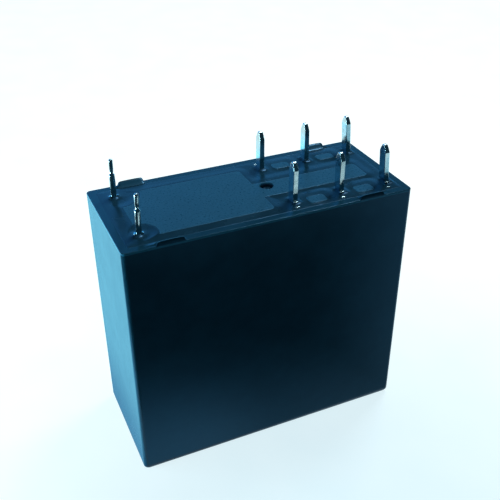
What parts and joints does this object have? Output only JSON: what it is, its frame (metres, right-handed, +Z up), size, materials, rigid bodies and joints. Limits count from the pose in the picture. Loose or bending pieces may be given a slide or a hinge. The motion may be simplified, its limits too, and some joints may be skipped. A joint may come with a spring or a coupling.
{
  "type": "relay",
  "caption": "Sealed black power relay for a circuit board: box cover, resin-sealed base with coil pins and contact blades, and a working armature, card and contacts inside.",
  "frame": {"origin": "middle of the closed end of the cover, on the surface that the relay stands on", "axes": "+Z up to the terminals, +X along the length from the coil terminals to the contact terminals, -Y is the front"},
  "size_m": [0.029, 0.0126, 0.0304],
  "materials": {
    "cover_plastic": "moulded thermoplastic polyester, satin, black",
    "base_plastic": "moulded thermoplastic polyester, grained pads, black",
    "resin": "cured epoxy, glossy, black",
    "bobbin_plastic": "moulded nylon, natural",
    "winding_wire": "enamelled copper wire",
    "coil_tape": "polyester film tape, yellow",
    "soft_iron": "soft iron, zinc plated",
    "card_plastic": "moulded nylon, white",
    "spring_steel": "stainless spring steel",
    "spring_bronze": "phosphor bronze strip",
    "tin_plate": "bright tin plate on copper alloy",
    "contact_silver": "silver alloy",
    "rivet_brass": "brass"
  },
  "bodies": {
    "root": {"cover": "cover_plastic", "base": "base_plastic", "sealing_resin": "resin", "coil_bobbin": "bobbin_plastic", "coil_winding": "winding_wire", "coil_tape": "coil_tape", "iron_core": "soft_iron", "yoke": "soft_iron", "hinge_spring": "spring_steel", "coil_terminal_front": "tin_plate", "coil_terminal_back": "tin_plate", "nc_terminal_front": "tin_plate", "nc_terminal_back": "tin_plate", "com_terminal_front": "tin_plate", "com_terminal_back": "tin_plate", "no_terminal_front": "tin_plate", "no_terminal_back": "tin_plate", "nc_contact_front": "contact_silver", "nc_contact_back": "contact_silver", "no_contact_front": "contact_silver", "no_contact_back": "contact_silver", "spring_rivet_front": "rivet_brass", "spring_rivet_back": "rivet_brass"},
    "armature": {"armature": "soft_iron", "push_card": "card_plastic"},
    "contact_spring_front": {"moving_spring_front": "spring_bronze", "moving_contact_front": "contact_silver"},
    "contact_spring_back": {"moving_spring_back": "spring_bronze", "moving_contact_back": "contact_silver"}
  },
  "joints": [
    {"name": "armature_rock", "type": "hinge", "parent": "root", "child": "armature", "pos_m": [0.00029, 0, 0.00417], "axis": [0, 1, 0], "range_deg": [0, 3.95], "stiffness_Nm_per_rad": 0.002, "springref_deg": -17.19},
    {"name": "contact_front_swing", "type": "hinge", "parent": "root", "child": "contact_spring_front", "pos_m": [0.00764, -0.00286, 0.0205], "axis": [0, -1, 0], "range_deg": [0, 2.5]},
    {"name": "contact_back_swing", "type": "hinge", "parent": "root", "child": "contact_spring_back", "pos_m": [0.00764, 0.00286, 0.0205], "axis": [0, -1, 0], "range_deg": [0, 2.5]}
  ],
  "couplings": [
    {"joint": "contact_front_swing", "follows": "armature_rock", "ratio": 0.6325},
    {"joint": "contact_back_swing", "follows": "armature_rock", "ratio": 0.6325}
  ]
}
